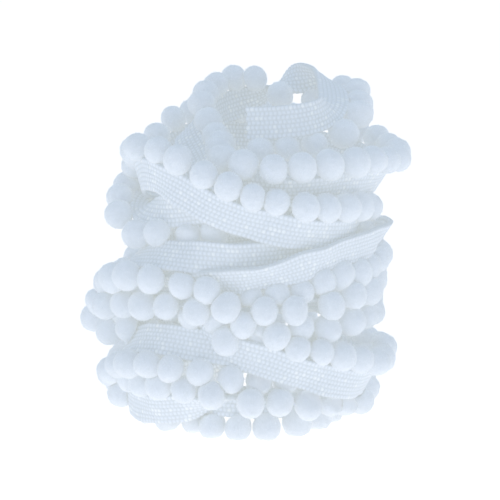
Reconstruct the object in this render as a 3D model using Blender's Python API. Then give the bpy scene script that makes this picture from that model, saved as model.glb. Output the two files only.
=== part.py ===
"""Pompom fringe trim, wound by hand into a loose, hollow, upright hank.

The trim is one piece: a knitted heading tape with a row of pompoms worked onto one edge. It is wound
round and round from its free end at the top to its hidden end at the bottom. The hank is one solid:
each turn is the band that tape and pompoms fill together, swept along the turn's own path, and the
turns are joined where they lie on each other. The mesh of the knit and the single pompoms are finer
than this solid.

Frame: metres, +Z up. The hank stands on Z = 0, the origin is the bottom centre of its box, and its
front is at -Y.
"""

import math
from collections import namedtuple

import bmesh
import bpy
from mathutils import Vector

# Driving sizes, in metres.
HOLLOW_AXIS_X = -0.00008  # the turns run round this upright axis, which centres the hank on the origin
HOLLOW_AXIS_Y = -0.00089
TAPE_WIDTH = 0.012
TAPE_THICKNESS = 0.0022
POMPOM_DIAMETER = 0.0105
CHEEK = 0.4  # the row of pompoms is a six-sided bead, whose flats are this share of its radius each way
POMPOM_SEAT = 0.85  # a pompom's middle stands this share of its radius off the tape's edge
FLOOR_CUT_HALF = 0.09
FLOOR_CUT_DEPTH = 0.03
MM = 0.001

# The winding.
STEPS_PER_TURN = 32
POINTS_PER_TURN = 8
LAP_STEPS = 2  # a turn's band runs this far into the next one, so that the union has something to join
FREE_END_POINT = 1  # the trim starts at the front of the first turn
HIDDEN_END_POINT = 5  # and ends at the back of the last one
UPRIGHT = math.radians(90)
WELD_DISTANCE = 0.00001

# One row for each turn, from the top one down. Every column holds eight values, one for each of the
# compass points front left, front, front right, right, back right, back, back left and left.
# height: the tape's middle line above the ground, in millimetres.
# reach: that line's distance from the hollow's upright axis, in millimetres.
# lean: where the pompom edge points, in degrees: 0 out, 90 up, -90 down, past 90 either way inwards.
Turn = namedtuple("Turn", "name height reach lean")
TURNS = (
    Turn("top_loop",
         (126, 127, 129, 135, 141, 130, 125, 120), (27, 31, 38, 36, 39, 33, 22, 25),
         (272, 275, 282, 348, 300, 98, 96, 135)),
    Turn("side_loop",
         (110, 102, 102, 102, 108, 113, 113, 98), (27, 46, 53, 56, 54, 47, 38, 39),
         (130, 68, 66, 55, 70, 80, 75, 60)),
    Turn("long_slope",
         (107, 91, 83, 85, 90, 93, 95, 91), (54, 57, 56, 40, 44, 48, 46, 41),
         (85, 78, 72, 60, 55, 60, 50, 38)),
    Turn("tucked",
         (92, 97, 90, 84, 82, 80, 72, 61), (50, 48, 45, 43, 48, 50, 48, 48),
         (-75, -120, -90, -60, -60, -50, -45, -40)),
    Turn("broad_face",
         (75, 76, 77, 76, 70, 66, 61, 57), (56, 54, 47, 46, 48, 50, 49, 45),
         (-42, -100, -95, -60, -50, -55, -40, -30)),
    Turn("shaded_rise",
         (62, 68, 77, 78, 70, 62, 54, 49), (49, 57, 58, 57, 50, 49, 48, 49),
         (-120, -125, -110, -117, -75, -40, -20, -5)),
    Turn("even_row",
         (55, 56, 58, 58, 53, 50, 45, 41), (48, 48, 47, 42, 45, 47, 48, 51),
         (0, 0, 0, 10, 45, 65, 45, 0)),
    Turn("inner_row",
         (41, 42, 42, 41, 41, 38, 35, 32), (38, 44, 47, 43, 46, 49, 49, 50),
         (0, 15, 30, 30, 40, 60, 60, 50)),
    Turn("falling",
         (44, 37, 22, 17, 20, 24, 24, 24), (45, 55, 57, 50, 48, 50, 51, 49),
         (85, 80, 70, 50, 20, -30, -60, -60)),
    Turn("arch",
         (41, 37, 34, 30, 26, 21, 15, 10), (57, 49, 44, 42, 48, 51, 51, 49),
         (-60, -65, -60, -30, 0, 30, 60, 75)),
    Turn("low",
         (11, 18, 13, 12, 13, 11, 5.6, 5.2), (54, 45, 41, 38, 45, 47, 45, 42),
         (78, 10, 0, 0, 10, 45, 82, 60)),
    Turn("ground",
         (14.7, 14.8, 9, 4.6, 5.4, 5.6, 4.6, 4.6), (40, 42, 30, 26, 38, 43, 42, 38),
         (-80, -72, -20, 0, 50, 85, 0, 0)),
)


def clear_scene():
    for obj in list(bpy.data.objects):
        bpy.data.objects.remove(obj, do_unlink=True)


def new_collection(name):
    collection = bpy.data.collections.new(name)
    bpy.context.scene.collection.children.link(collection)
    return collection


def new_material(name, colour, roughness):
    material = bpy.data.materials.new(name)
    material.use_nodes = True
    shader = material.node_tree.nodes["Principled BSDF"]
    shader.inputs["Base Color"].default_value = (*colour, 1.0)
    shader.inputs["Roughness"].default_value = roughness
    shader.inputs["Metallic"].default_value = 0.0
    return material


def column_values(column):
    """One column of the table as one list along the trim, from its free end to its hidden end."""
    values = [value for turn in TURNS for value in getattr(turn, column)]
    unused = POINTS_PER_TURN - 1 - HIDDEN_END_POINT
    return values[FREE_END_POINT:len(values) - unused]


def smooth_value(values, place):
    """Catmull-Rom value at a place along a list, where whole numbers are the list's own entries."""
    index = min(int(place), len(values) - 2)
    share = place - index
    before = values[max(index - 1, 0)]
    start = values[index]
    end = values[index + 1]
    after = values[min(index + 2, len(values) - 1)]
    slope = end - before
    bend = 2 * before - 5 * start + 4 * end - after
    twist = 3 * start - before - 3 * end + after
    return start + 0.5 * share * (slope + share * (bend + share * twist))


def path_points():
    """The tape's middle line as (point, lean) pairs, STEPS_PER_TURN of them for each turn."""
    height = column_values("height")
    reach = column_values("reach")
    lean = column_values("lean")
    steps_per_point = STEPS_PER_TURN // POINTS_PER_TURN
    points = []
    for step in range((len(height) - 1) * steps_per_point + 1):
        place = step / steps_per_point
        azimuth = math.radians((place + FREE_END_POINT - 1) * 360 / POINTS_PER_TURN)
        distance = smooth_value(reach, place) * MM
        x = HOLLOW_AXIS_X + distance * math.sin(azimuth)
        y = HOLLOW_AXIS_Y - distance * math.cos(azimuth)
        point = Vector((x, y, smooth_value(height, place) * MM))
        points.append((point, math.radians(smooth_value(lean, place))))
    return points


def band_profile(collection):
    """The band's cross-section as a flat closed curve: the thin tape, swelling into the row of pompoms.

    X runs across the band's thickness and Y along its width, towards the pompoms.
    """
    radius = POMPOM_DIAMETER / 2
    middle = TAPE_WIDTH / 2 + POMPOM_SEAT * radius
    half_tape = TAPE_THICKNESS / 2
    one_side = [
        (half_tape, -TAPE_WIDTH / 2),
        (half_tape, middle - radius),
        (radius, middle - radius * CHEEK),
        (radius * CHEEK, middle + radius),
    ]
    outline = one_side + [(-x, y) for x, y in reversed(one_side)]
    curve = bpy.data.curves.new("band_profile", "CURVE")
    curve.dimensions = "2D"
    spline = curve.splines.new("POLY")
    spline.points.add(len(outline) - 1)
    for point, (x, y) in zip(spline.points, outline):
        point.co = (x, y, 0, 1)
    spline.use_cyclic_u = True
    profile = bpy.data.objects.new("band_profile", curve)
    profile.hide_render = True
    collection.objects.link(profile)
    return profile


def swept_band(name, points, profile, collection):
    """A closed mesh of the band along some of the path's points."""
    curve = bpy.data.curves.new(name, "CURVE")
    curve.dimensions = "3D"
    curve.twist_mode = "Z_UP"
    curve.bevel_mode = "OBJECT"
    curve.bevel_object = profile
    curve.use_fill_caps = True
    spline = curve.splines.new("POLY")
    spline.points.add(len(points) - 1)
    for control, (point, lean) in zip(spline.points, points):
        control.co = (*point, 1)
        control.tilt = UPRIGHT - lean
    guide = bpy.data.objects.new(name + "_guide", curve)
    collection.objects.link(guide)
    graph = bpy.context.evaluated_depsgraph_get()
    mesh = bpy.data.meshes.new_from_object(guide.evaluated_get(graph))
    bpy.data.objects.remove(guide, do_unlink=True)
    shape = bmesh.new()
    shape.from_mesh(mesh)
    bmesh.ops.remove_doubles(shape, verts=shape.verts, dist=WELD_DISTANCE)
    bmesh.ops.recalc_face_normals(shape, faces=shape.faces)
    shape.to_mesh(mesh)
    shape.free()
    band = bpy.data.objects.new(name, mesh)
    collection.objects.link(band)
    return band


def floor_block(collection):
    """The space below the ground, which gives the lowest turn the flat it stands on."""
    mesh = bpy.data.meshes.new("floor_block")
    shape = bmesh.new()
    bmesh.ops.create_cube(shape, size=1.0)
    bmesh.ops.scale(shape, verts=shape.verts, vec=(2 * FLOOR_CUT_HALF, 2 * FLOOR_CUT_HALF, FLOOR_CUT_DEPTH))
    bmesh.ops.translate(shape, verts=shape.verts, vec=(0, 0, -FLOOR_CUT_DEPTH / 2))
    shape.to_mesh(mesh)
    shape.free()
    block = bpy.data.objects.new("floor_block", mesh)
    collection.objects.link(block)
    return block


def as_helper(obj):
    obj.hide_render = True
    obj.display_type = "WIRE"


def add_boolean(obj, operation, other):
    modifier = obj.modifiers.new(f"{operation.lower()}_{other.name}", "BOOLEAN")
    modifier.operation = operation
    modifier.solver = "MANIFOLD"
    modifier.object = other


def shells(shape):
    """The shells of a mesh, each as a list of the faces that meet edge to edge."""
    left = set(shape.faces)
    found = []
    while left:
        shell = [left.pop()]
        for face in shell:
            neighbours = {other for edge in face.edges for other in edge.link_faces} & left
            left -= neighbours
            shell.extend(neighbours)
        found.append(shell)
    return found


def keep_outer_shell(obj):
    """Applies the Booleans and fills the pockets that the turns close off between them."""
    graph = bpy.context.evaluated_depsgraph_get()
    mesh = bpy.data.meshes.new_from_object(obj.evaluated_get(graph))
    shape = bmesh.new()
    shape.from_mesh(mesh)
    pockets = sorted(shells(shape), key=len)[:-1]
    bmesh.ops.delete(shape, geom=[face for pocket in pockets for face in pocket], context="FACES")
    shape.to_mesh(mesh)
    shape.free()
    obj.modifiers.clear()
    obj.data = mesh


def build_trim():
    parts = new_collection("pompom_fringe_trim")
    helpers = new_collection("helpers")
    profile = band_profile(helpers)
    points = path_points()
    steps_before_start = FREE_END_POINT * STEPS_PER_TURN // POINTS_PER_TURN
    bands = []
    first = 0
    for number, turn in enumerate(TURNS):
        turn_end = (number + 1) * STEPS_PER_TURN - steps_before_start
        band_points = points[first:turn_end + LAP_STEPS]
        home = helpers if bands else parts
        bands.append(swept_band(turn.name, band_points, profile, home))
        first = turn_end
    trim = bands[0]
    trim.name = "wound_trim"
    for band in bands[1:]:
        as_helper(band)
        add_boolean(trim, "UNION", band)
    ground = floor_block(helpers)
    as_helper(ground)
    add_boolean(trim, "DIFFERENCE", ground)
    keep_outer_shell(trim)
    trim.data.materials.clear()
    trim.data.materials.append(new_material("white_yarn", (0.80, 0.84, 0.88), 0.95))
    trim.data.shade_smooth()


clear_scene()
build_trim()
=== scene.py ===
"""Pompom fringe trim, wound by hand into a loose upright hank: its knitted tape, pompoms, pile and stage.

The trim is followed along its length, from the free end at the top to the hidden end at the bottom. The
knitted tape is a thin sheet on the winding's own folds, the pompoms sit along one of its edges, and the
pile is the cut yarn that stands out of each pompom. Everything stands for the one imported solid.
"""

import math
from collections import namedtuple

import bpy
import numpy as np
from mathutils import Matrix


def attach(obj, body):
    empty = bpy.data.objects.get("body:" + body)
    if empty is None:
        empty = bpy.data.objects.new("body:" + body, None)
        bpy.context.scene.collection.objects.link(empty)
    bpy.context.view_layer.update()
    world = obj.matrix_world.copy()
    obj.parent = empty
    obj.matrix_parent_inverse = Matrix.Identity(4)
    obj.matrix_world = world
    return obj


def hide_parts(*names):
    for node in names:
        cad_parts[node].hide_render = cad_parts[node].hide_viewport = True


bl_info = {
    "name": "Pompom Fringe Trim",
    "version": (1, 0, 0),
    "blender": (4, 5, 0),
    "location": "View3D > Sidebar > Trim",
    "description": "Knitted tape, pompoms, pile and stage of a hand-wound pompom fringe trim",
    "category": "Add Mesh",
}

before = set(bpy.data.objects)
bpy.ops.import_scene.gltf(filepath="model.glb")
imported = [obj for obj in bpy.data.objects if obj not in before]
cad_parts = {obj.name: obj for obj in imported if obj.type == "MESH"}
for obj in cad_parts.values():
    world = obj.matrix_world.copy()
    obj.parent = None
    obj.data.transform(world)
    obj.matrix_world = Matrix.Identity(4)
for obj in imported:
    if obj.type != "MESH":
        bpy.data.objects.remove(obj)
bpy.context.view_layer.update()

SOLID = "wound_trim"
BODY = "root"
MM = 0.001

# The winding, as the solid has it: a row for each turn, from the top one down, and eight compass points
# a turn, from front left by the front, the right and the back to the left.
# height: the tape's middle line above the ground, in millimetres.
# reach: its distance from the hollow's upright axis, in millimetres.
# lean: where the pompom edge points, in degrees: 0 out, 90 up, -90 or 270 down, 180 inwards. Between two
# points it runs through the values between them, so 300 to 98 turns the tape over once.
HOLLOW_AXIS_X = -0.00008  # metres, as is the next
HOLLOW_AXIS_Y = -0.00089
POINTS_PER_TURN = 8
FREE_END_POINT = 1
HIDDEN_END_POINT = 5
Turn = namedtuple("Turn", "name height reach lean")
TURNS = (
    Turn("top_loop",
         (126, 127, 129, 135, 141, 130, 125, 120), (27, 31, 38, 36, 39, 33, 22, 25),
         (272, 275, 282, 348, 300, 98, 96, 135)),
    Turn("side_loop",
         (110, 102, 102, 102, 108, 113, 113, 98), (27, 46, 53, 56, 54, 47, 38, 39),
         (130, 68, 66, 55, 70, 80, 75, 60)),
    Turn("long_slope",
         (107, 91, 83, 85, 90, 93, 95, 91), (54, 57, 56, 40, 44, 48, 46, 41),
         (85, 78, 72, 60, 55, 60, 50, 38)),
    Turn("tucked",
         (92, 97, 90, 84, 82, 80, 72, 61), (50, 48, 45, 43, 48, 50, 48, 48),
         (-75, -120, -90, -60, -60, -50, -45, -40)),
    Turn("broad_face",
         (75, 76, 77, 76, 70, 66, 61, 57), (56, 54, 47, 46, 48, 50, 49, 45),
         (-42, -100, -95, -60, -50, -55, -40, -30)),
    Turn("shaded_rise",
         (62, 68, 77, 78, 70, 62, 54, 49), (49, 57, 58, 57, 50, 49, 48, 49),
         (-120, -125, -110, -117, -75, -40, -20, -5)),
    Turn("even_row",
         (55, 56, 58, 58, 53, 50, 45, 41), (48, 48, 47, 42, 45, 47, 48, 51),
         (0, 0, 0, 10, 45, 65, 45, 0)),
    Turn("inner_row",
         (41, 42, 42, 41, 41, 38, 35, 32), (38, 44, 47, 43, 46, 49, 49, 50),
         (0, 15, 30, 30, 40, 60, 60, 50)),
    Turn("falling",
         (44, 37, 22, 17, 20, 24, 24, 24), (45, 55, 57, 50, 48, 50, 51, 49),
         (85, 80, 70, 50, 20, -30, -60, -60)),
    Turn("arch",
         (41, 37, 34, 30, 26, 21, 15, 10), (57, 49, 44, 42, 48, 51, 51, 49),
         (-60, -65, -60, -30, 0, 30, 60, 75)),
    Turn("low",
         (11, 18, 13, 12, 13, 11, 5.6, 5.2), (54, 45, 41, 38, 45, 47, 45, 42),
         (78, 10, 0, 0, 10, 45, 82, 60)),
    Turn("ground",
         (14.7, 14.8, 9, 4.6, 5.4, 5.6, 4.6, 4.6), (40, 42, 30, 26, 38, 43, 42, 38),
         (-80, -72, -20, 0, 50, 85, 0, 0)),
)

PLACES_PER_POINT = 60  # how finely the trim is followed when its frames are worked out
UP = np.array([0.0, 0.0, 1.0])

# The knit. A stitch is a raised cell between a groove along the tape and a groove across it.
STITCH_SHARES = (0.0, 0.22, 0.78)  # where a cell's lines lie, the first in its groove
STITCH_RISE = (0.0, 1.0, 1.0)  # how far each of those lines stands up
STITCHES_ACROSS = 7
BAR_SHARE = 0.62  # of the relief, what the bars across the tape make
RELIEF_UNEVEN = 0.35
COLUMN_SKEW = 0.16  # every other column of stitches runs ahead by this much of a stitch
SELVEDGE_LOOP = 0.00022  # how far a stitch stands past the tape's edge
SELVEDGE_SIDE = 0.999
KNIT_SEED = 11

# Soft ripples of the tape: wavelength along it, how far the edges swing, how far the middle swings.
Ripple = namedtuple("Ripple", "wavelength edge middle phase")
EDGE_PACE = 1.3  # the edges' swing runs this much faster than the middle's
RIPPLES = (
    Ripple(0.047, 0.00060, 0.00030, 0.4),
    Ripple(0.029, 0.00035, -0.00020, 2.1),
    Ripple(0.0173, 0.00016, 0.00012, 4.0),
)

# A pompom's shape.
POMPOM_SEAT = 0.85  # its middle stands this share of its radius off the tape's edge
POMPOM_CUTS = 3
POMPOM_SHAPE = (1.07, 0.97, 1.04)  # its size off the tape's face, along the tape, and away from it
LOBES = 7
LUMP = 0.055
FIBRE_TURNS = 4
FIBRE_RISE = 0.6
FIBRE_SPREAD = 50
SHAPE_SEED = 1000

# Where the pompoms sit, with the chances that move them, and how they push each other away.
PLACE_SEED = 5
UNEVEN_PITCH = 0.05
UNEVEN_SIZE = 0.05
SIZE_SPREAD = 0.8
SIZE_LIMIT = 1.6
UNEVEN_SEAT = 0.0006
SETTLE_ROUNDS = 24
NEIGHBOURHOOD = 0.02  # only what starts this near to a pompom can push it
OWN_TAPE = 1.6  # the tape this many pitches either way is a pompom's own, and doesn't push it
SETTLE_TOUCH = 0.9  # two pompoms touch when their middles are this share of a diameter apart
TAPE_TOUCH = 0.95
BALL_PUSH = 0.35
TAPE_PUSH = 0.16
HOMING = 0.06
SETTLE_STRAY = 0.0028
FLOOR_SEAT = 0.86
CLOTH_STEP = 0.0025
CLOTH_ROWS = 6

# How a pompom is pressed back where it meets the floor, another pompom or the tape.
FLOOR_PRESS = 0.0002
PRESS_GAP = 0.00012
PRESS_SHARE = 0.85  # of what stands past the meeting plane, so the rest still overlaps
PRESS_REACH = 0.003  # a point this far from a tape's sample still lies over the tape
PRESS_HEIGHT = 0.0014
PRESS_LIMIT = 0.006

# A strand of the pile is a thin three-sided spike: its foot's corners, then its tip.
STRAND_FACES = ((0, 1, 3), (1, 2, 3), (2, 0, 3), (0, 2, 1))
STRAND_WIDTH = (0.00012, 0.00022)
STRAND_SWEEP = (0.3, 1.6)
STRAND_LENGTH = (0.4, 1.0)  # shares of the pile's length
STRAND_ROOT = -0.03  # its foot stands this share of the radius off the pompom's surface
STRAND_SEED = 5000


def column_values(column):
    """One column of the table as one list along the trim."""
    values = [value for turn in TURNS for value in getattr(turn, column)]
    unused = POINTS_PER_TURN - 1 - HIDDEN_END_POINT
    return np.array(values[FREE_END_POINT:len(values) - unused], float)


def smooth_values(values, places):
    """Catmull-Rom values at places along a list, where whole numbers are its own entries."""
    last = len(values) - 1
    index = np.clip(places.astype(int), 0, last - 1)
    share = places - index
    before = values[np.clip(index - 1, 0, last)]
    start = values[index]
    end = values[index + 1]
    after = values[np.clip(index + 2, 0, last)]
    bend = 2 * before - 5 * start + 4 * end - after
    twist = 3 * start - before - 3 * end + after
    return start + 0.5 * share * (end - before + share * (bend + share * twist))


def unit(vectors):
    return vectors / np.linalg.norm(vectors, axis=-1, keepdims=True)


class Winding:
    """The tape's middle line and its frames, by length along the trim."""

    def __init__(self):
        self.height = column_values("height")
        self.reach = column_values("reach")
        self.lean = column_values("lean")
        points = len(self.height) - 1
        self.places = np.linspace(0, points, points * PLACES_PER_POINT + 1)
        middle = self.middle(self.places)
        steps = np.linalg.norm(np.diff(middle, axis=0), axis=1)
        self.lengths = np.concatenate([[0], np.cumsum(steps)])

    def middle(self, places):
        azimuth = np.radians((places + FREE_END_POINT - 1) * 360 / POINTS_PER_TURN)
        reach = smooth_values(self.reach, places) * MM
        height = smooth_values(self.height, places) * MM
        x = HOLLOW_AXIS_X + reach * np.sin(azimuth)
        y = HOLLOW_AXIS_Y - reach * np.cos(azimuth)
        return np.stack([x, y, height], axis=1)

    def turn_ends(self):
        """Where each turn ends, as lengths along the trim, with the trim's start in front."""
        ends = [0.0]
        for number in range(1, len(TURNS)):
            place = number * POINTS_PER_TURN - FREE_END_POINT
            ends.append(float(np.interp(place, self.places, self.lengths)))
        ends.append(float(self.lengths[-1]))
        return ends

    def frames(self, lengths):
        """(middle, along, across, face) at lengths along the trim. across points to the pompom edge."""
        places = np.interp(lengths, self.lengths, self.places)
        nudge = 0.5 / PLACES_PER_POINT
        last = self.places[-1]
        ahead = self.middle(np.clip(places + nudge, 0, last))
        behind = self.middle(np.clip(places - nudge, 0, last))
        along = unit(ahead - behind)
        upright = unit(UP - along * along[:, 2:3])
        out = np.cross(along, upright)
        lean = np.radians(smooth_values(self.lean, places))[:, None]
        across = np.sin(lean) * upright + np.cos(lean) * out
        return self.middle(places), along, across, np.cross(along, across)


WINDING = Winding()


# ---------------------------------------------------------------- settings


class TrimSizes(bpy.types.PropertyGroup):
    tape_width: bpy.props.FloatProperty(
        name="Tape width", description="Width of the knitted tape, selvedge to selvedge",
        default=0.0127, min=0.005, max=0.03, unit="LENGTH")
    tape_thickness: bpy.props.FloatProperty(
        name="Tape thickness", description="Thickness of the tape in the grooves between stitches",
        default=0.0011, min=0.0004, max=0.003, unit="LENGTH")
    stitch_relief: bpy.props.FloatProperty(
        name="Stitch relief", description="How far a stitch stands above its grooves on each face",
        default=0.00042, min=0.0, max=0.001, unit="LENGTH")
    stitch_length: bpy.props.FloatProperty(
        name="Stitch length", description="Length of one stitch along the tape",
        default=0.00175, min=0.001, max=0.004, unit="LENGTH")
    pompom_diameter: bpy.props.FloatProperty(
        name="Pompom diameter", description="Diameter of a pompom without its loose pile",
        default=0.0114, min=0.005, max=0.02, unit="LENGTH")
    pompom_pitch: bpy.props.FloatProperty(
        name="Pompom pitch", description="Distance from one pompom to the next along the tape",
        default=0.0108, min=0.006, max=0.03, unit="LENGTH")
    pile_length: bpy.props.FloatProperty(
        name="Pile length", description="How far the longest cut yarn ends stand out of a pompom",
        default=0.0011, min=0.0, max=0.003, unit="LENGTH")
    pile_count: bpy.props.IntProperty(
        name="Pile count", description="Number of loose yarn ends on one pompom",
        default=330, min=0, max=2000)


class TrimColours(bpy.types.PropertyGroup):
    tape: bpy.props.FloatVectorProperty(
        name="Tape", description="Colour of the raised stitches",
        default=(0.68, 0.755, 0.88), size=3, min=0.0, max=1.0, subtype="COLOR")
    # Painted shade: the grooves between the stitches are coloured darker than the raised stitches, for the
    # shade that falls in them.
    groove: bpy.props.FloatVectorProperty(
        name="Groove", description="Colour deep between the stitches",
        default=(0.48, 0.55, 0.62), size=3, min=0.0, max=1.0, subtype="COLOR")
    pompom: bpy.props.FloatVectorProperty(
        name="Pompom", description="Colour of the pompoms",
        default=(0.72, 0.78, 0.89), size=3, min=0.0, max=1.0, subtype="COLOR")
    pompom_shade: bpy.props.FloatVectorProperty(
        name="Pompom shade", description="Colour between the pompoms' yarn ends",
        default=(0.52, 0.59, 0.68), size=3, min=0.0, max=1.0, subtype="COLOR")


class TrimStage(bpy.types.PropertyGroup):
    view_distance: bpy.props.FloatProperty(
        name="View distance", description="Distance of the camera from the hank",
        default=0.8, min=0.3, max=5.0, unit="LENGTH")
    view_height: bpy.props.FloatProperty(
        name="View height", description="Angle at which the camera looks down",
        default=math.radians(10), min=0.0, max=1.5, subtype="ANGLE")
    lens: bpy.props.FloatProperty(
        name="Lens", description="Focal length of the camera in millimetres",
        default=136.5, min=20, max=300)


# ---------------------------------------------------------------- shader helpers


class Value:
    """A shader socket that holds a number, and takes part in sums."""

    def __init__(self, shader, socket):
        self.shader = shader
        self.socket = socket

    def math(self, operation, *others):
        return self.shader.node("ShaderNodeMath", {"operation": operation}, {
            number: other for number, other in enumerate((self, *others))})

    def __add__(self, other):
        return self.math("ADD", other)

    def __radd__(self, other):
        return self.math("ADD", other)

    def __sub__(self, other):
        return self.math("SUBTRACT", other)

    def __rsub__(self, other):
        return self.shader.node("ShaderNodeMath", {"operation": "SUBTRACT"}, {0: other, 1: self})

    def __mul__(self, other):
        return self.math("MULTIPLY", other)

    def __rmul__(self, other):
        return self.math("MULTIPLY", other)


class Shader:
    """A new material's node tree, with one Principled BSDF."""

    def __init__(self, name):
        self.material = bpy.data.materials.new(name)
        self.material.use_nodes = True
        self.tree = self.material.node_tree
        self.surface = self.tree.nodes["Principled BSDF"]

    def plug(self, socket, value):
        if isinstance(value, Value):
            self.tree.links.new(value.socket, socket)
        else:
            socket.default_value = value

    def node(self, kind, settings, inputs, output=0):
        """A node of this kind: its settings first, then the values or links of its sockets."""
        node = self.tree.nodes.new(kind)
        for name, setting in settings.items():
            setattr(node, name, setting)
        for name, value in inputs.items():
            self.plug(node.inputs[name], value)
        return Value(self, node.outputs[output])

    def mix(self, share, low, high):
        """A colour between low and high."""
        node = self.tree.nodes.new("ShaderNodeMix")
        node.data_type = "RGBA"
        colours = [socket for socket in node.inputs if socket.type == "RGBA"]
        self.plug(node.inputs[0], share)
        self.plug(colours[0], low)
        self.plug(colours[1], high)
        return Value(self, next(socket for socket in node.outputs if socket.type == "RGBA"))

    def noise(self, vector, scale, detail, roughness=0.5):
        return self.node("ShaderNodeTexNoise", {}, {
            "Vector": vector, "Scale": scale, "Detail": detail, "Roughness": roughness})

    def finish(self, colour, roughness, height, distance, constants):
        """Links what varies over the surface, and sets what doesn't on the shader's own sockets."""
        self.plug(self.surface.inputs["Base Color"], colour)
        self.plug(self.surface.inputs["Roughness"], roughness)
        normal = self.node("ShaderNodeBump", {}, {"Strength": 1.0, "Distance": distance, "Height": height})
        self.plug(self.surface.inputs["Normal"], normal)
        for name, value in constants.items():
            self.surface.inputs[name].default_value = value
        return self.material


# Each holds for a whole surface, so it is set on the shader's own socket.
INNER_LIGHT = (1.0, 1.0, 0.80, 1.0)  # stands for the light that the yarn passes on inside the hank
OUTER_LIGHT = (0.86, 0.94, 1.0, 1.0)  # and for what a thin yarn end passes on


def opaque(colour):
    return (*colour, 1.0)


def knit_material(colours):
    """Knitted yarn: pale raised stitches, grooves darkened with painted shade, twisted strands and a few
    loops lit with a painted glint.
    """
    shader = Shader("knitted_white_yarn")
    stitches = shader.node("ShaderNodeUVMap", {"uv_map": "knit"}, {})
    where = shader.node("ShaderNodeTexCoord", {}, {}, output=3)
    split = shader.node("ShaderNodeSeparateXYZ", {}, {0: stitches})
    along = split
    across = Value(shader, split.socket.node.outputs[1])
    ridge_along = (along * math.tau).math("COSINE") * -0.5 + 0.5
    ridge_across = (across * math.tau).math("COSINE") * -0.5 + 0.5
    ridge = (ridge_along * ridge_across).math("POWER", 0.4)
    strands = (along * (2 * math.tau) + across * (3 * math.tau)).math("SINE") * 0.5 + 0.5
    fuzz = shader.noise(where, 2600.0, 3.0, 0.6)
    patch = shader.noise(where, 90.0, 2.0)
    # A few stitches, picked at random, get a painted glint: a lighter colour on their tops, and a lower
    # roughness there.
    cell = shader.node("ShaderNodeVectorMath", {"operation": "FLOOR"}, {0: stitches})
    chance = shader.node("ShaderNodeTexWhiteNoise", {"noise_dimensions": "2D"}, {"Vector": cell})
    painted_glint = shader.node("ShaderNodeMath", {"operation": "GREATER_THAN"}, {0: chance, 1: 0.9})
    # Painted shade: the grooves between the stitches take the darker groove colour, the raised stitches
    # the tape colour.
    depth = (ridge * 0.9 + fuzz * 0.2).math("MINIMUM", 1.0)
    plain = shader.mix(depth, opaque(colours.groove), opaque(colours.tape))
    toned = shader.mix(patch * 0.35, plain, opaque([part * 0.95 for part in colours.tape]))
    # Painted highlight: the glinting stitches' tops are mixed towards near white.
    lit = shader.mix(painted_glint * ridge * 0.6, toned, (0.88, 0.92, 0.95, 1.0))
    height = ridge * 0.5 + strands * ridge * 0.25 + fuzz * 0.25
    return shader.finish(lit, 0.92 - painted_glint * ridge * 0.25, height, 0.00028, {
        "Subsurface Weight": 0.2, "Subsurface Scale": 0.0008, "Subsurface Radius": (1.0, 1.0, 1.0),
        "Emission Color": INNER_LIGHT, "Emission Strength": 0.16,
        "Sheen Weight": 0.2, "Sheen Roughness": 0.5, "Specular IOR Level": 0.2})


def pile_material(colours, name, brighter, depth, glow, passed_on):
    """Cut yarn packed into a ball: fine ends that lie with the ball's meridians, softly shaded."""
    shader = Shader(name)
    where = shader.node("ShaderNodeTexCoord", {}, {}, output=3)
    fibres = shader.node("ShaderNodeUVMap", {"uv_map": "fibres"}, {})
    streaks = shader.noise(fibres, 9.0, 3.0, 0.6)
    ends = shader.noise(where, 1700.0, 4.0, 0.65)
    clumps = shader.noise(where, 420.0, 2.0)
    # Where share is low the colour is the pompom shade, painted shade between the yarn ends; high is the
    # pompom colour times brighter, painted light that lifts the loose ends.
    share = (ends * 0.55 + streaks * 0.9 + clumps * 0.7 - 0.55).math("MINIMUM", 1.0).math("MAXIMUM", 0.0)
    high = opaque([min(1.0, part * brighter) for part in colours.pompom])
    colour = shader.mix(share, opaque(colours.pompom_shade), high)
    height = ends * 0.5 + streaks * 0.3 + clumps * 0.6
    return shader.finish(colour, 0.97 - clumps * 0.1, height, 0.00045, {
        "Subsurface Weight": depth, "Subsurface Scale": 0.003, "Subsurface Radius": (1.0, 1.0, 1.0),
        "Emission Color": glow, "Emission Strength": passed_on, "Sheen Weight": 0.3,
        "Sheen Roughness": 0.6, "Specular IOR Level": 0.1})


# ---------------------------------------------------------------- mesh helpers


def mesh_object(name, points, faces, material):
    mesh = bpy.data.meshes.new(name)
    corners = faces.shape[1]
    mesh.vertices.add(len(points))
    mesh.vertices.foreach_set("co", points.astype(np.float32).ravel())
    mesh.loops.add(faces.size)
    mesh.loops.foreach_set("vertex_index", faces.astype(np.int32).ravel())
    mesh.polygons.add(len(faces))
    mesh.polygons.foreach_set("loop_start", np.arange(0, faces.size, corners, dtype=np.int32))
    mesh.update(calc_edges=True)
    mesh.materials.append(material)
    obj = bpy.data.objects.new(name, mesh)
    bpy.context.scene.collection.objects.link(obj)
    return obj


def set_uv(mesh, name, values):
    """A UV map from one value for each vertex."""
    corners = np.empty(len(mesh.loops), np.int32)
    mesh.loops.foreach_get("vertex_index", corners)
    layer = mesh.uv_layers.new(name=name)
    layer.data.foreach_set("uv", values[corners].astype(np.float32).ravel())


def settle(piece):
    """Puts a finished piece on the frame as a stand-in for the solid."""
    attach(piece, BODY)
    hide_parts(SOLID)


def ripple(lengths, side):
    """How far the tape swings off its middle surface. side is -1 at the free edge and 1 at the pompoms."""
    swing = 0.0
    for wave in RIPPLES:
        angle = math.tau * lengths / wave.wavelength + wave.phase
        swing = swing + wave.middle * np.sin(angle) + wave.edge * side * np.cos(EDGE_PACE * angle)
    return swing


# ---------------------------------------------------------------- knitted tape


def cell_lines(first, count):
    """Positions of the knit's lines in cells from first, and how far each stands up."""
    cells = np.arange(first, first + count)
    places = (cells[:, None] + np.array(STITCH_SHARES)).ravel()
    rise = np.tile(STITCH_RISE, count)
    return np.append(places, first + count), np.append(rise, 0.0)


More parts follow.
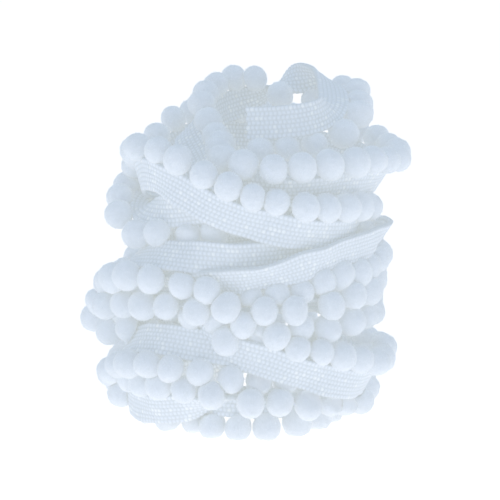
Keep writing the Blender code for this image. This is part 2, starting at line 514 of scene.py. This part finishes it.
def knitted_tape(number, turn, sizes, material, random):
    """One turn of the tape: a thin closed sheet with both faces knitted."""
    ends = WINDING.turn_ends()
    stitch = sizes.stitch_length
    first = round(ends[number] / stitch)
    last = min(round(ends[number + 1] / stitch), int(ends[-1] / stitch))
    rows, row_rise = cell_lines(first, last - first)
    columns, column_rise = cell_lines(0, STITCHES_ACROSS)
    lengths = np.clip(rows * stitch, 0, ends[-1])
    middle, along, across, face = WINDING.frames(lengths)
    side = columns / STITCHES_ACROSS * 2 - 1
    skew = COLUMN_SKEW * stitch * np.where(columns.astype(int) % 2, 1, -1)
    inner = (column_rise > 0) * 1.0
    uneven = 1 + RELIEF_UNEVEN * (random.random((len(rows), len(columns))) - 0.5)
    relief = BAR_SHARE * row_rise[:, None] + (1 - BAR_SHARE) * column_rise[None, :]
    relief = relief * uneven * sizes.stitch_relief
    swing = ripple(lengths[:, None], side[None, :])
    loops = SELVEDGE_LOOP * np.outer(row_rise, np.abs(side) > SELVEDGE_SIDE) * np.sign(side)
    offset = (side[None, :] * sizes.tape_width / 2 + loops)[..., None]
    base = (middle[:, None] + across[:, None] * offset + face[:, None] * swing[..., None]
            + along[:, None] * (skew * inner)[None, :, None])
    half = (sizes.tape_thickness / 2 + relief)[..., None]
    front = base + face[:, None] * half
    back = base - face[:, None] * half
    size = len(rows) * len(columns)
    points = np.concatenate([front.reshape(-1, 3), back.reshape(-1, 3)])
    points[:, 2] = np.maximum(points[:, 2], FLOOR_PRESS)
    index = np.arange(size).reshape(len(rows), len(columns))
    quads = np.stack([index[:-1, :-1], index[1:, :-1], index[1:, 1:], index[:-1, 1:]], -1).reshape(-1, 4)
    rim = np.concatenate([index[:, 0], index[-1, 1:], index[-2::-1, -1], index[0, -2:0:-1]])
    after = np.roll(rim, -1)
    sides = np.stack([after, rim, rim + size, after + size], -1)
    faces = np.concatenate([quads, quads[:, ::-1] + size, sides])
    piece = mesh_object(f"knitted_tape_{turn.name}", points, faces, material)
    grid = np.stack(np.broadcast_arrays(rows[:, None], columns[None, :]), -1).reshape(-1, 2)
    set_uv(piece.data, "knit", np.concatenate([grid, grid]))
    piece.data.shade_smooth()
    return piece, lengths[-1] - lengths[0]


class TRIM_OT_knitted_tape(bpy.types.Operator):
    """Knit the tape, one sheet for each turn of the winding"""
    bl_idname = "object.trim_knitted_tape"
    bl_label = "Knitted tape"

    def execute(self, context):
        sizes = context.scene.trim_sizes
        material = knit_material(context.scene.trim_colours)
        random = np.random.default_rng(KNIT_SEED)
        pieces = [knitted_tape(number, turn, sizes, material, random) for number, turn in enumerate(TURNS)]
        below = [piece for piece, _ in pieces[1:]]
        for (piece, length), support in zip(pieces, below + [None]):
            settle(piece)
        return {"FINISHED"}


# ---------------------------------------------------------------- pompoms


def ball_shape():
    """A round ball of few faces, modelled once: (points, faces) with a radius of 1."""
    bpy.ops.object.select_all(action="DESELECT")
    bpy.ops.mesh.primitive_cube_add(size=2.0, location=(0, 0, 0))
    ball = bpy.context.active_object
    bpy.ops.object.mode_set(mode="EDIT")
    bpy.ops.mesh.select_all(action="SELECT")
    bpy.ops.mesh.subdivide(number_cuts=POMPOM_CUTS)
    bpy.ops.object.mode_set(mode="OBJECT")
    rounding = ball.modifiers.new("rounding", "CAST")
    rounding.cast_type = "SPHERE"
    rounding.factor = 1.0
    rounding.use_radius_as_size = False
    rounding.size = 1.0
    bpy.ops.object.modifier_apply(modifier=rounding.name)
    points = np.array([vert.co[:] for vert in ball.data.vertices])
    faces = np.array([face.vertices[:] for face in ball.data.polygons])
    bpy.data.objects.remove(ball, do_unlink=True)
    return unit(points), faces


Pompoms = namedtuple("Pompoms", "lengths middle radius axes balls tapes cloth cloth_face")


def tape_samples(sizes):
    """Points over the tape's middle surface, the tape's direction there and the length along the trim."""
    lengths = np.arange(0, WINDING.lengths[-1], CLOTH_STEP)
    middle, _, across, face = WINDING.frames(lengths)
    offsets = np.linspace(-0.5, 0.5, CLOTH_ROWS) * sizes.tape_width
    points = middle[:, None] + across[:, None] * offsets[None, :, None]
    count = len(offsets)
    return points.reshape(-1, 3), np.repeat(face, count, axis=0), np.repeat(lengths, count)


def near_pairs(points, others):
    """Index pairs of points and others that start within each other's neighbourhood."""
    distance = np.linalg.norm(points[:, None] - others[None], axis=2)
    return np.nonzero(distance < NEIGHBOURHOOD)


def pushes(points, others, pairs, reach):
    """The sum of pushes that move points out of reach of the others."""
    one, other = pairs
    gap = points[one] - others[other]
    distance = np.linalg.norm(gap, axis=1)
    overlap = np.maximum(reach - distance, 0) / np.maximum(distance, 1e-6)
    total = np.zeros_like(points)
    np.add.at(total, one, gap * overlap[:, None])
    return total


def settled_pompoms(sizes):
    """Each pompom's place and size, pushed away from its neighbours and from other folds of the tape.

    The pushes are soft and a pompom stays near its home, so some still overlap a little.
    """
    random = np.random.default_rng(PLACE_SEED)
    pitch = sizes.pompom_pitch
    lengths = np.arange(pitch / 2, WINDING.lengths[-1] - pitch / 4, pitch)
    lengths = lengths + random.normal(0, UNEVEN_PITCH * pitch, len(lengths))
    chance = random.normal(0, SIZE_SPREAD, len(lengths)).clip(-SIZE_LIMIT, SIZE_LIMIT)
    radius = sizes.pompom_diameter / 2 * (1 + UNEVEN_SIZE * chance)
    middle, along, across, face = WINDING.frames(lengths)
    seat = (sizes.tape_width / 2 + POMPOM_SEAT * radius)[:, None]
    home = middle + across * seat + face * random.normal(0, UNEVEN_SEAT, (len(lengths), 1))
    place = home.copy()
    cloth, cloth_face, cloth_length = tape_samples(sizes)
    balls = near_pairs(home, home)
    balls = tuple(side[balls[0] != balls[1]] for side in balls)
    tapes = near_pairs(home, cloth)
    apart = np.abs(lengths[tapes[0]] - cloth_length[tapes[1]]) > OWN_TAPE * pitch
    tapes = tuple(side[apart] for side in tapes)
    ball_reach = (radius[balls[0]] + radius[balls[1]]) * SETTLE_TOUCH
    tape_reach = radius[tapes[0]] * TAPE_TOUCH
    for _ in range(SETTLE_ROUNDS):
        push = BALL_PUSH * pushes(place, place, balls, ball_reach)
        push = push + TAPE_PUSH * pushes(place, cloth, tapes, tape_reach)
        place = place + push + HOMING * (home - place)
        stray = place - home
        far = np.linalg.norm(stray, axis=1, keepdims=True)
        place = home + stray * np.minimum(1, SETTLE_STRAY / np.maximum(far, 1e-9))
        place[:, 2] = np.maximum(place[:, 2], radius * FLOOR_SEAT)
    root = middle + across * sizes.tape_width / 2
    outward = unit(place - root)
    sideways = unit(np.cross(outward, along))
    axes = np.stack([sideways, np.cross(outward, sideways), outward], axis=2)
    return Pompoms(lengths, place, radius, axes, balls, tapes, cloth, cloth_face)


def lumpy(directions, random):
    """How far a ball's surface stands in or out in each direction, from a few soft lobes."""
    lobes = unit(random.normal(0, 1, (LOBES, 3)))
    heights = random.normal(0, 1, LOBES)
    return 1 + LUMP * (np.maximum(directions @ lobes.T, 0) ** 3 @ heights)


def pressed(points, pompoms, which):
    """One pompom's surface points, pressed back where it meets another pompom or a fold of the tape."""
    middle = pompoms.middle[which]
    own = pompoms.radius[which]
    for other in pompoms.balls[1][pompoms.balls[0] == which]:
        gap = pompoms.middle[other] - middle
        distance = np.linalg.norm(gap)
        meeting = (distance ** 2 + own ** 2 - pompoms.radius[other] ** 2) / (2 * distance) - PRESS_GAP
        beyond = np.maximum((points - middle) @ gap / distance - meeting, 0)
        points = points - (beyond * PRESS_SHARE / distance)[:, None] * gap
    near = pompoms.tapes[1][pompoms.tapes[0] == which]
    if not len(near):
        return points
    place, face = pompoms.cloth[near], pompoms.cloth_face[near]
    face = face * np.sign(((middle - place) * face).sum(axis=1, keepdims=True))
    gap = points[:, None] - place[None]
    nearest = np.argmin(np.linalg.norm(gap, axis=2), axis=1)
    rows = np.arange(len(points))
    height = (gap[rows, nearest] * face[nearest]).sum(axis=1)
    sideways = np.linalg.norm(gap[rows, nearest] - height[:, None] * face[nearest], axis=1)
    lift = np.where(sideways < PRESS_REACH, np.clip(PRESS_HEIGHT - height, 0, PRESS_LIMIT), 0)
    return points + face[nearest] * lift[:, None]


def pompom_points(pompoms, which, directions, random, standing=0.0):
    """The surface points of one pompom, in these directions from its middle."""
    shape = directions * lumpy(directions, random)[:, None]
    shape = shape * np.array(POMPOM_SHAPE) * (pompoms.radius[which] * (1 + standing))
    points = pressed(pompoms.middle[which] + shape @ pompoms.axes[which].T, pompoms, which)
    points[:, 2] = np.maximum(points[:, 2], FLOOR_PRESS)
    return points


def turn_of(pompoms, number):
    ends = WINDING.turn_ends()
    return np.flatnonzero((pompoms.lengths >= ends[number]) & (pompoms.lengths < ends[number + 1]))


class TRIM_OT_pompoms(bpy.types.Operator):
    """Set the pompoms along the tape's edge, joined into one piece for each turn"""
    bl_idname = "object.trim_pompoms"
    bl_label = "Pompoms"

    def execute(self, context):
        sizes = context.scene.trim_sizes
        material = pile_material(context.scene.trim_colours, "pompom_yarn", 1.0, 0.6, INNER_LIGHT, 0.16)
        pompoms = settled_pompoms(sizes)
        ball, faces = ball_shape()
        around = np.arctan2(ball[:, 1], ball[:, 0]) / math.tau
        uv = np.stack([np.cos(around * math.tau) * FIBRE_TURNS, ball[:, 2] * FIBRE_RISE], axis=1)
        for number, turn in enumerate(TURNS):
            points, polygons, maps = [], [], []
            for order, which in enumerate(turn_of(pompoms, number)):
                random = np.random.default_rng(SHAPE_SEED + int(which))
                points.append(pompom_points(pompoms, which, ball, random))
                polygons.append(faces + order * len(ball))
                maps.append(uv + random.random(2) * FIBRE_SPREAD)
            piece = mesh_object(
                f"pompoms_{turn.name}", np.concatenate(points), np.concatenate(polygons), material)
            set_uv(piece.data, "fibres", np.concatenate(maps))
            piece.data.shade_smooth()
            settle(piece)
        return {"FINISHED"}


class TRIM_OT_pile(bpy.types.Operator):
    """Stand loose yarn ends out of every pompom, one short tapered strand each"""
    bl_idname = "object.trim_pile"
    bl_label = "Pile"

    def execute(self, context):
        sizes = context.scene.trim_sizes
        if not sizes.pile_count:
            return {"FINISHED"}
        # The loose ends are a lighter, more strongly glowing copy of the pompom yarn: painted light that
        # keeps their thin strands from showing dark.
        material = pile_material(context.scene.trim_colours, "loose_yarn_ends", 1.2, 0.0, OUTER_LIGHT, 0.3)
        pompoms = settled_pompoms(sizes)
        for number, turn in enumerate(TURNS):
            strands, maps = [], []
            for which in turn_of(pompoms, number):
                shape = np.random.default_rng(SHAPE_SEED + int(which))
                random = np.random.default_rng(STRAND_SEED + int(which))
                directions = unit(random.normal(0, 1, (sizes.pile_count, 3)))
                roots = pompom_points(pompoms, which, directions, shape, STRAND_ROOT)
                outward = unit(roots - pompoms.middle[which])
                tangent = unit(np.cross(outward, random.normal(0, 1, outward.shape)))
                swept = outward + tangent * random.uniform(*STRAND_SWEEP, (len(outward), 1))
                length = sizes.pile_length * random.uniform(*STRAND_LENGTH, (len(outward), 1))
                tips = roots + unit(swept) * length
                tips[:, 2] = np.maximum(tips[:, 2], FLOOR_PRESS)
                width = random.uniform(*STRAND_WIDTH, (len(outward), 1)) / 2
                sideways = np.cross(outward, tangent)
                foot = [roots + width * (math.cos(turned) * tangent + math.sin(turned) * sideways)
                        for turned in (0.0, math.tau / 3, 2 * math.tau / 3)]
                strands.append(np.stack([*foot, tips], axis=1).reshape(-1, 3))
                maps.append(np.repeat(random.random((len(outward), 2)) * FIBRE_SPREAD, 4, axis=0))
            points = np.concatenate(strands)
            first = np.arange(0, len(points), 4)[:, None, None]
            faces = (first + np.array(STRAND_FACES)).reshape(-1, 3)
            piece = mesh_object(f"pile_{turn.name}", points, faces, material)
            set_uv(piece.data, "fibres", np.concatenate(maps))
            settle(piece)
        return {"FINISHED"}


# ---------------------------------------------------------------- stage


def aim(obj, target):
    direction = np.array(target) - np.array(obj.location)
    flat = math.hypot(direction[0], direction[1])
    obj.rotation_euler = (math.atan2(flat, -direction[2]), 0.0, math.atan2(-direction[0], direction[1]))


LOOK_AT = (0.00119, HOLLOW_AXIS_Y, 0.070)  # what the camera and the lamps point at
FLOOR_SIZE = 12.0
FLOOR_DROP = 0.0002  # keeps the floor just clear of the hank's foot
FLOOR_GLOW = 0.74
SKY_COLOUR = (0.60, 0.78, 1.0, 1.0)
SKY_STRENGTH = 0.55
VIEW_GAMMA = 1.5
Lamp = namedtuple("Lamp", "name place size power colour")
LAMPS = (
    Lamp("front", (-0.15, -1.5, 0.45), 1.1, 0.85, (0.50, 0.71, 1.0)),
    Lamp("left", (-1.3, -0.4, 0.5), 0.9, 0.6, (0.58, 0.76, 1.0)),
    Lamp("top", (0.1, 0.2, 1.5), 1.0, 3.2, (0.56, 0.75, 1.0)),
)


class TRIM_OT_stage(bpy.types.Operator):
    """Lay the pale floor, hang the soft lamps and place the camera"""
    bl_idname = "object.trim_stage"
    bl_label = "Stage"

    def execute(self, context):
        scene = context.scene
        stage = scene.trim_stage
        bpy.ops.object.select_all(action="DESELECT")
        bpy.ops.object.camera_add()
        camera = context.active_object
        camera.name = "camera"
        camera.location = (
            LOOK_AT[0],
            LOOK_AT[1] - stage.view_distance * math.cos(stage.view_height),
            LOOK_AT[2] + stage.view_distance * math.sin(stage.view_height))
        camera.data.lens = stage.lens
        camera.data.clip_start = 0.01
        aim(camera, LOOK_AT)
        scene.camera = camera
        bpy.ops.mesh.primitive_plane_add(size=FLOOR_SIZE, location=(0, 0, -FLOOR_DROP))
        floor = context.active_object
        floor.name = "floor"
        shader = Shader("pale_floor")
        shader.surface.inputs["Base Color"].default_value = (0.80, 0.80, 0.80, 1.0)
        shader.surface.inputs["Roughness"].default_value = 0.9
        shader.surface.inputs["Emission Color"].default_value = (1.0, 0.96, 0.95, 1.0)
        shader.surface.inputs["Emission Strength"].default_value = FLOOR_GLOW
        floor.data.materials.append(shader.material)
        for lamp in LAMPS:
            bpy.ops.object.light_add(type="AREA", location=lamp.place)
            light = context.active_object
            light.name = lamp.name
            light.data.size = lamp.size
            light.data.energy = lamp.power
            light.data.color = lamp.colour
            aim(light, LOOK_AT)
        world = bpy.data.worlds.new("soft_white")
        world.use_nodes = True
        background = world.node_tree.nodes["Background"]
        background.inputs["Color"].default_value = SKY_COLOUR
        background.inputs["Strength"].default_value = SKY_STRENGTH
        scene.world = world
        scene.view_settings.view_transform = "Standard"
        scene.view_settings.exposure = 0.0
        scene.view_settings.gamma = VIEW_GAMMA
        return {"FINISHED"}


# ---------------------------------------------------------------- panel and run


STEPS = (TRIM_OT_knitted_tape, TRIM_OT_pompoms, TRIM_OT_pile, TRIM_OT_stage)


class TRIM_PT_panel(bpy.types.Panel):
    """Sizes, colours and steps of the trim"""
    bl_idname = "TRIM_PT_panel"
    bl_label = "Pompom Fringe Trim"
    bl_space_type = "VIEW_3D"
    bl_region_type = "UI"
    bl_category = "Trim"

    def draw(self, context):
        layout = self.layout
        for group in (context.scene.trim_sizes, context.scene.trim_colours, context.scene.trim_stage):
            for name in group.bl_rna.properties.keys():
                if name not in {"rna_type", "name"}:
                    layout.prop(group, name)
        for step in STEPS:
            layout.operator(step.bl_idname)


CLASSES = (TrimSizes, TrimColours, TrimStage, *STEPS, TRIM_PT_panel)


def register():
    for item in CLASSES:
        bpy.utils.register_class(item)
    bpy.types.Scene.trim_sizes = bpy.props.PointerProperty(type=TrimSizes)
    bpy.types.Scene.trim_colours = bpy.props.PointerProperty(type=TrimColours)
    bpy.types.Scene.trim_stage = bpy.props.PointerProperty(type=TrimStage)


def unregister():
    del bpy.types.Scene.trim_stage
    del bpy.types.Scene.trim_colours
    del bpy.types.Scene.trim_sizes
    for item in reversed(CLASSES):
        bpy.utils.unregister_class(item)


def main():
    register()
    bpy.ops.object.trim_knitted_tape()
    bpy.ops.object.trim_pompoms()
    bpy.ops.object.trim_pile()
    bpy.ops.object.trim_stage()


if __name__ == "__main__":
    main()
